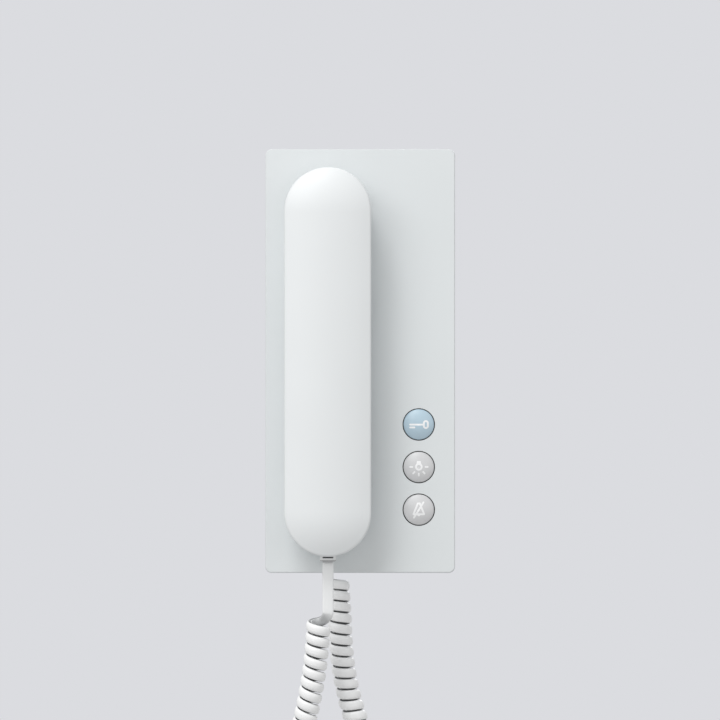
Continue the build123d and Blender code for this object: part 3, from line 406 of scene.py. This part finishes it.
class Finish(Nodes):  # one material, with its Principled shader
    def __init__(self, name, colour, roughness, **constants):
        self.material = bpy.data.materials.new(name)
        self.material.use_nodes = True
        super().__init__(self.material.node_tree)
        self.shader = self.add("ShaderNodeBsdfPrincipled", {}, {})
        self.output = self.add("ShaderNodeOutputMaterial", {}, {0: Term(self, self.shader.outputs[0])})
        self.set("Base Color", (*colour, 1))
        self.set("Roughness", roughness)
        for socket, value in constants.items():
            self.set(socket.replace("_", " "), value)

    def set(self, socket, value):
        self.feed(self.shader.inputs[socket], value)

    def place(self):  # the object's own coordinates, in metres
        return self.node("ShaderNodeTexCoord", {}, {}, "Object")

    def axes(self):
        return self.outputs("ShaderNodeSeparateXYZ", {0: self.place()}, "XYZ")

    def noise(self, size, detail=2, vector=None):  # size of the pattern in metres
        return self.node("ShaderNodeTexNoise", {},
                         {"Vector": vector or self.place(), "Scale": 1 / size, "Detail": detail})

    def blendColour(self, share, a, b):  # 6 and 7 are the node's two colours, and 2 the blended one
        return self.node("ShaderNodeMix", {"data_type": "RGBA"}, {0: share, 6: a, 7: b}, 2)

    def uneven(self, pattern, colour, drift):  # the colour, between two factors of it
        return self.blendColour(pattern, shift(colour, drift[0]), shift(colour, drift[1]))

    def roughen(self, pattern, roughness, spread):  # the pattern moves it by half the spread each way
        self.set("Roughness", pattern * spread + (roughness - spread / 2))

    def bump(self, height, distance=1):  # the height is in units of the distance
        self.set("Normal", self.node("ShaderNodeBump", {}, {"Height": height, "Distance": distance}))


def shift(colour, factor):
    return (*[min(part * factor, 1) for part in colour], 1)


# Moulded plastics: an even colour that drifts a little, and the fine grain of a textured mould

moulded = {
    "housing_white": {"colour": (0.76, 0.792, 0.8), "roughness": 0.46,
                      "grain": 0.35 * mm, "depth": 0.008 * mm},
    "handset_white": {"colour": (0.825, 0.848, 0.855), "roughness": 0.4,
                      "grain": 0.35 * mm, "depth": 0.005 * mm},
    "socket_black": {"colour": (0.03, 0.03, 0.032), "roughness": 0.35,
                     "grain": 0.5 * mm, "depth": 0.01 * mm},
    "inner_plastic": {"colour": (0.055, 0.055, 0.058), "roughness": 0.45,
                      "grain": 0.5 * mm, "depth": 0.01 * mm},
    "terminal_green": {"colour": (0.02, 0.19, 0.085), "roughness": 0.38,
                       "grain": 0.5 * mm, "depth": 0.01 * mm},
    "chip_black": {"colour": (0.018, 0.018, 0.02), "roughness": 0.55,
                   "grain": 0.2 * mm, "depth": 0.01 * mm},
    "capsule_plastic": {"colour": (0.02, 0.02, 0.022), "roughness": 0.4,
                        "grain": 0.4 * mm, "depth": 0.01 * mm},
    "soft_rubber": {"colour": (0.02, 0.02, 0.02), "roughness": 0.72,
                    "grain": 0.6 * mm, "depth": 0.03 * mm},
}

moulding = {
    "driftSize": 45 * mm,
    "drift": (0.975, 1.02),
    "roughnessSpread": 0.1,
}


def mouldedFinish(name, colour, roughness, grain, depth, relief=None):
    finish = Finish(name, colour, roughness)
    drift = finish.noise(moulding["driftSize"], detail=1)
    fine = finish.noise(grain)
    finish.set("Base Color", finish.uneven(drift, colour, moulding["drift"]))
    finish.roughen(fine, roughness, moulding["roughnessSpread"])
    height = fine * depth
    finish.bump(height + relief(finish) if relief else height)
    return finish


# The housing's front edge is crisper than its rounding in the solid, so its shading is brought back
# towards the front's: this is the height that the rounding takes away

coverEdge = {
    "corner": 3.0 * mm,
    "rounding": 0.8 * mm,
    "reach": 0.97,  # how far down the rounding, as a share of its radius
    "share": 0.9,
}


def edgeRelief(finish):
    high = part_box("front_cover")[1]
    corner, rounding = coverEdge["corner"], coverEdge["rounding"]
    x, y, z = finish.axes()
    pastX = x.size() - (high[0] - corner)
    pastZ = z.size() - (high[2] - corner)
    outX, outZ = pastX.most(0), pastZ.most(0)
    inside = corner - (outX * outX + outZ * outZ).root() - pastX.most(pastZ).least(0)
    into = (1 - inside / rounding).most(0).least(coverEdge["reach"])
    return (1 - (1 - into * into).root()) * (rounding * coverEdge["share"])


# Metals: fine turning or rolling marks

metals = {
    "screw_steel": {"colour": (0.60, 0.61, 0.62), "roughness": 0.30},
    "weight_steel": {"colour": (0.36, 0.36, 0.37), "roughness": 0.46},
    "can_aluminium": {"colour": (0.72, 0.73, 0.74), "roughness": 0.26},
    "speaker_steel": {"colour": (0.10, 0.10, 0.105), "roughness": 0.42},
}

metalMarks = {
    "size": 0.7 * mm,
    "detail": 4,
    "drift": (0.86, 1.08),
    "roughnessSpread": 0.2,
    "depth": 0.02 * mm,
}


def metalFinish(name, colour, roughness):
    finish = Finish(name, colour, roughness, Metallic=1.0)
    marks = finish.noise(metalMarks["size"], metalMarks["detail"])
    finish.set("Base Color", finish.uneven(marks, colour, metalMarks["drift"]))
    finish.roughen(marks, roughness, metalMarks["roughnessSpread"])
    finish.bump(marks, metalMarks["depth"])
    return finish


# Circuit board: solder resist over copper tracks

board = {
    "resist": (0.012, 0.115, 0.045),
    "overCopper": (0.020, 0.190, 0.070),
    "trackPitch": 2.54 * mm,
    "bandHeight": 9 * mm,  # the tracks shift sideways from one band to the next
    "bandShift": 0.37,
    "trackShare": 0.36,
    "trackSharpness": 30,
    "trackHeight": 0.03 * mm,
    "roughness": 0.28,
    "coat": 0.4,
}


def boardFinish(name):
    finish = Finish(name, board["resist"], board["roughness"], Coat_Weight=board["coat"])
    x, y, z = finish.axes()
    lane = x / board["trackPitch"] + (z / board["bandHeight"]).whole() * board["bandShift"]
    inLane = (lane.fraction() - 0.5).size()
    track = ((board["trackShare"] / 2 - inLane) * board["trackSharpness"]).within()
    finish.set("Base Color", finish.blendColour(track, (*board["resist"], 1), (*board["overCopper"], 1)))
    finish.bump(track, board["trackHeight"])
    return finish


# Cord: smooth soft plastic, a little uneven along its length. Its flanks and inner side, which face the
# next turn and the inside of the coil, are darkened with painted shade

cordLook = {
    "lead": (0.897, 0.907, 0.910, 1),
    "pale": (0.935, 0.940, 0.941, 1),  # of the wound part, which wanders between these two
    "palest": (0.960, 0.963, 0.963, 1),
    # painted shade: the flanks of the wound turns and their inner side, where the next turn and the
    # coil's inside shade them
    "paintedFlankShade": (0.14, 0.145, 0.15, 1),
    "paintedInnerShade": (0.55, 0.56, 0.565, 1),
    "flankWidth": 0.100,  # of the painted flank shade, as a share of half the way round the cord
    "soft": 0.05,  # of the border between the colours
    "wander": 1.6,  # its size in units of the cord's pattern
    "grain": 0.25 * mm,
    "depth": 0.01 * mm,
    "roughness": 0.36,
    "roughnessSpread": 0.12,
}


def cordFinish(name):
    finish = Finish(name, cordLook["pale"][:3], cordLook["roughness"])
    along = finish.node("ShaderNodeUVMap", {"uv_map": "along"}, {})
    # turned goes from 0 to 1 once round the cord, with the flanks at 0 and 0.5
    turned = finish.node("ShaderNodeSeparateXYZ", {}, {0: along}, "Y")
    wound = finish.node("ShaderNodeAttribute", {"attribute_name": "wound"}, {}, "Fac")
    fromFlank = 0.5 - ((turned * 2).fraction() - 0.5).size()
    # masks of the painted shade on the flanks and on the inner side of the wound part
    paintedFlankShade = ((cordLook["flankWidth"] - fromFlank) / cordLook["soft"] + 0.5).within() * wound
    paintedInnerShade = ((0.5 - turned) / cordLook["soft"]).within() * wound
    wander = finish.noise(cordLook["wander"], vector=along)
    fine = finish.noise(cordLook["grain"])
    outside = finish.blendColour(wander, cordLook["pale"], cordLook["palest"])
    outside = finish.blendColour(wound, cordLook["lead"], outside)
    facing = finish.blendColour(paintedInnerShade, outside, cordLook["paintedInnerShade"])
    finish.set("Base Color", finish.blendColour(paintedFlankShade, facing, cordLook["paintedFlankShade"]))
    finish.roughen(wander, cordLook["roughness"], cordLook["roughnessSpread"])
    finish.bump(fine, cordLook["depth"])
    return finish


# Modular plugs: clear plastic that looks white, with painted shade inside the slot in the front and along
# the plug's lowest band

plug = {
    "colour": (0.90, 0.91, 0.905),
    "paintedSlotShade": (0.13, 0.134, 0.138, 1),
    "paintedLowShade": (0.50, 0.505, 0.51, 1),  # painted shade on the band under the slot
    "paintedLowShadeHeight": 0.7 * mm,
    "roughness": 0.22,
    "roughnessSpread": 0.08,
    "driftSize": 3 * mm,
    "drift": (0.95, 1.04),
    "driftDepth": 0.01 * mm,
    "slotLift": 1.85 * mm,  # of its middle above the plug's lower end
    "slotHalf": (2.52 * mm, 0.36 * mm),  # half its width and half its height
    "slotDepths": (0.1 * mm, 1.5 * mm),  # from the plug's front, where the painted shade begins and ends
}


def plugFinish(name):
    low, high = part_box(name)
    finish = Finish(name, plug["colour"], plug["roughness"])
    x, y, z = finish.axes()
    # where the slot is, which gets painted shade
    inside = (x - (low[0] + high[0]) / 2).size().below(plug["slotHalf"][0])
    inside = inside * (z - (low[2] + plug["slotLift"])).size().below(plug["slotHalf"][1])
    inside = inside * (low[1] + plug["slotDepths"][0] - y).below(0)
    inside = inside * (y - low[1]).below(plug["slotDepths"][1])
    drift = finish.noise(plug["driftSize"])
    plain = finish.uneven(drift, plug["colour"], plug["drift"])
    # painted shade along the plug's lowest band
    plain = finish.blendColour(z.below(low[2] + plug["paintedLowShadeHeight"]), plain, plug["paintedLowShade"])
    finish.set("Base Color", finish.blendColour(inside, plain, plug["paintedSlotShade"]))
    finish.roughen(drift, plug["roughness"], plug["roughnessSpread"])
    finish.bump(drift, plug["driftDepth"])
    return finish


# Buttons, each with a white pictogram printed on its cap. Its places are in millimetres from the button's
# middle. A stroke is the stretch between two points, and a ring goes round such a stretch at its radius

cap = {
    "door": (0.500, 0.645, 0.740),
    "light": (0.690, 0.693, 0.700),
    "mute": (0.690, 0.693, 0.700),
    "roughness": 0.36,
    "roughnessSpread": 0.1,
    "driftSize": 6 * mm,
    "drift": (0.97, 1.03),
    "grain": 0.3 * mm,
    "grainHeight": 0.004,  # in millimetres, as are the three below
    "inkHeight": 0.012,
    "radius": 7.25,
    "dome": 1.1,
    "skirtGapShade": (0.020, 0.020, 0.021, 1),  # the part of the button that stays in the housing, painted dark as the shade in the gap round the cap
    "skirtDepth": 0.1 * mm,
}

pictograms = {
    "stroke": 0.43,  # half the width of the lines
    "soft": 0.10,  # of their edge
    "reach": 1.2 * mm,  # how far behind the cap's highest point the print can lie
    "ink": (0.975, 0.98, 0.985, 1),
    "door": {
        "strokes": [((-4.1, -0.05), (2.2, -0.05)), ((-4.1, -1.4), (-2.1, -1.4))],
        "rings": [((3.35, -0.72), (3.35, 0.66), 0.95)],
    },
    "light": {
        "strokes": [((-0.55, 2.45), (0.55, 2.45)), ((-0.5, 2.3), (-0.75, 1.2)), ((0.5, 2.3), (0.75, 1.2)),
                    ((-4.1, 0.1), (-3.1, 0.1)), ((4.2, 0.1), (3.2, 0.1)), ((0.0, -3.05), (0.0, -4.0)),
                    ((-2.05, -2.3), (-2.7, -3.0)), ((2.1, -2.3), (2.75, -3.0))],
        "rings": [((0.0, 0.15), (0.0, 0.15), 1.36)],
    },
    "mute": {
        "strokes": [((-0.4, 3.0), (0.4, 3.0)), ((-0.5, 2.9), (-2.5, -2.0)), ((0.5, 2.9), (2.5, -2.0)),
                    ((-2.5, -2.15), (2.5, -2.15)), ((-2.3, -3.75), (2.2, 3.5)),
                    ((-0.2, -2.65), (0.2, -2.65))],
        "rings": [],
    },
}


def reachTo(finish, x, z, start, end):  # distance in millimetres from the stretch between two points
    acrossX, acrossZ = x - start[0], z - start[1]
    runX, runZ = end[0] - start[0], end[1] - start[1]
    square = runX**2 + runZ**2
    if square:
        share = ((acrossX * runX + acrossZ * runZ) / square).within()
        acrossX = acrossX - share * runX
        acrossZ = acrossZ - share * runZ
    return (acrossX * acrossX + acrossZ * acrossZ).root()


def buttonFinish(name, button):
    low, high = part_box(f"{button}_button")
    middle = [(low[axis] + high[axis]) / 2 for axis in (0, 2)]
    faceY = low[1]
    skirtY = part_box("front_cover")[0][1] + cap["skirtDepth"]
    colour = cap[button]
    signs = pictograms[button]
    finish = Finish(name, colour, cap["roughness"])
    x, y, z = finish.axes()
    across, up = (x - middle[0]) / mm, (z - middle[1]) / mm
    away = None
    for start, end in signs["strokes"]:
        reach = reachTo(finish, across, up, start, end)
        away = reach if away is None else away.least(reach)
    for start, end, radius in signs["rings"]:
        away = away.least((reachTo(finish, across, up, start, end) - radius).size())
    inked = ((pictograms["stroke"] - away) / pictograms["soft"] + 0.5).within()
    inked = inked * y.below(faceY + pictograms["reach"])
    plain = finish.uneven(finish.noise(cap["driftSize"], detail=1), colour, cap["drift"])
    fine = finish.noise(cap["grain"])
    printed = finish.blendColour(inked, plain, pictograms["ink"])
    # painted shade on the part of the button inside the housing, for the gap round the cap
    finish.set("Base Color", finish.blendColour(y.below(skirtY), cap["skirtGapShade"], printed))
    finish.roughen(fine, cap["roughness"], cap["roughnessSpread"])
    dome = (across * across + up * up) * (-cap["dome"] / cap["radius"]**2)
    finish.bump(dome + inked * cap["inkHeight"] + fine * cap["grainHeight"], mm)
    return finish


# Every node gets the finish of its material slot, but for the few that have one of their own

def dressNodes():
    finishes = {name: mouldedFinish(name, **facts) for name, facts in moulded.items()}
    finishes.update({name: metalFinish(name, **facts) for name, facts in metals.items()})
    finishes["board_green"] = boardFinish("board_green")
    finishes["cord_white"] = cordFinish("cord_white")
    coverWhite = mouldedFinish("cover_white", **moulded["housing_white"], relief=edgeRelief)
    for subpart in frame["record"]["subparts"]:
        name = subpart["node"]
        if name.endswith("_button"):
            finish = buttonFinish(name, name.split("_")[0])
        elif name.endswith("_plug"):
            finish = plugFinish(name)
        elif name == "front_cover":
            finish = coverWhite
        else:
            finish = finishes[subpart["material_slot"]]
        materials = frame["nodes"][name].data.materials
        materials.clear()
        materials.append(finish.material)
    for piece in (handsetCord, baseCord):
        piece.data.materials.append(finishes["cord_white"].material)


dressNodes()
print("finishes set")


# Floor, lamps and surroundings. The floor and the pale backdrop are seen only by the camera and in
# reflections, and the floor only from above, so that they hide nothing and colour nothing

studio = {
    "floorColour": (0.72, 0.72, 0.73),
    "floorRadius": 1.0,  # small enough to stay out of the picture from the front
    "floorDrop": 0.30,
    "floorCorners": 96,
    "floorRoughness": 0.9,
    "backdrop": (0.708, 0.716, 0.745),
    "worldColour": (1.0, 1.0, 1.0),
    "worldLight": 0.536,
    "lamps": [
        {"name": "topLeft", "at": (-0.45, -1.00, 1.65), "size": 0.9, "power": 16.0},
        {"name": "frontLeft", "at": (-1.11, -1.33, 1.00), "size": 1.2, "power": 10.2},
        {"name": "frontRight", "at": (1.28, -1.53, 0.17), "size": 1.2, "power": 2.2},
        {"name": "behind", "at": (0.5, 1.8, 1.0), "size": 1.4, "power": 14.0},
    ],
}


def seen(nodes):  # 1 for what the camera sees, straight or in gloss or through glass
    names = ("Is Camera Ray", "Is Glossy Ray", "Is Transmission Ray")
    camera, gloss, glass = nodes.outputs("ShaderNodeLightPath", {}, names)
    return camera.most(gloss).most(glass)


def makeFloor():
    bpy.ops.object.select_all(action="DESELECT")
    bpy.ops.mesh.primitive_circle_add(vertices=studio["floorCorners"], radius=studio["floorRadius"],
                                      fill_type="NGON", enter_editmode=True)
    bpy.ops.transform.translate(value=(0, 0, -studio["floorDrop"]))
    bpy.ops.object.mode_set(mode="OBJECT")
    floor = bpy.context.object
    floor.name = "floor"
    finish = Finish("floor", studio["floorColour"], studio["floorRoughness"])
    front = 1 - finish.node("ShaderNodeNewGeometry", {}, {}, "Backfacing")
    clear = finish.node("ShaderNodeBsdfTransparent", {}, {})
    shown = finish.node("ShaderNodeMixShader", {},
                        {0: seen(finish) * front, 1: clear, 2: Term(finish, finish.shader.outputs[0])})
    finish.feed(finish.output.inputs[0], shown)
    floor.data.materials.append(finish.material)


def makeLamp(name, at, size, power):  # a round lamp that faces the middle of the housing
    data = bpy.data.lights.new(name, "AREA")
    data.shape = "DISK"
    data.size = size
    data.energy = power
    holder = bpy.data.objects.new(name, data)
    holder.location = at
    holder.rotation_euler = (-Vector(at)).to_track_quat("-Z", "Y").to_euler()
    bpy.context.scene.collection.objects.link(holder)


def makeWorld():
    world = bpy.data.worlds.new("studio")
    world.use_nodes = True
    nodes = Nodes(world.node_tree)
    lit = nodes.node("ShaderNodeBackground", {},
                     {"Color": (*studio["worldColour"], 1), "Strength": studio["worldLight"]})
    backdrop = nodes.node("ShaderNodeBackground", {}, {"Color": (*studio["backdrop"], 1)})
    shown = nodes.node("ShaderNodeMixShader", {}, {0: seen(nodes), 1: lit, 2: backdrop})
    nodes.add("ShaderNodeOutputWorld", {}, {0: shown})
    bpy.context.scene.world = world


makeFloor()
for lamp in studio["lamps"]:
    makeLamp(**lamp)
makeWorld()
bpy.context.scene.view_settings.view_transform = "Standard"
print("stage and lamps set")
